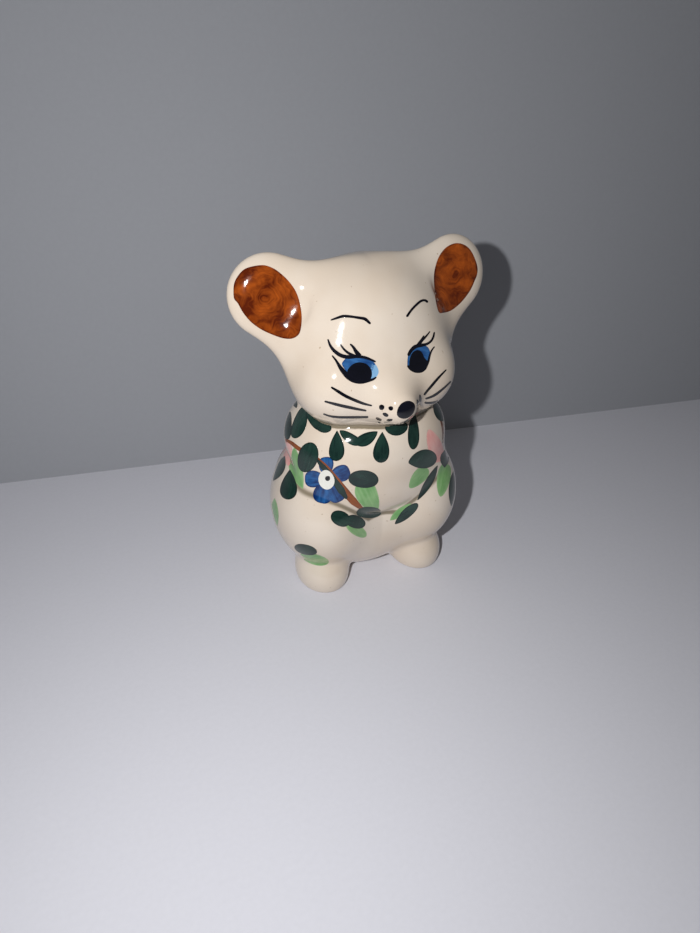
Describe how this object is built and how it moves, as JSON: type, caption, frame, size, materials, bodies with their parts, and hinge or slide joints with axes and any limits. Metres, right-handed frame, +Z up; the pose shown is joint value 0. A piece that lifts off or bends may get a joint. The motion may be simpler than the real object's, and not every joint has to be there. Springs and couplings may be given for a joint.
{
  "type": "mouse figurine",
  "caption": "Small glazed ceramic mouse sitting upright, with large round ears, folded forearms, rounded haunches and feet, and a flat base with an air hole.",
  "frame": {"origin": "on the table surface, in the mouse's plane of symmetry, midway between the tip of the nose and the back of the rump", "axes": "+Z up, the mouse faces -Y, and +X is the mouse's own left side"},
  "size_m": [0.0654, 0.0502, 0.0884],
  "materials": {
    "glaze": "clear gloss glaze over a cream body, with hand-painted underglaze colours"
  },
  "bodies": {
    "root": {"belly": "glaze", "chest": "glaze", "head": "glaze", "ear_left": "glaze", "ear_right": "glaze", "haunch_left": "glaze", "haunch_right": "glaze", "foot_left": "glaze", "foot_right": "glaze"}
  },
  "joints": []
}
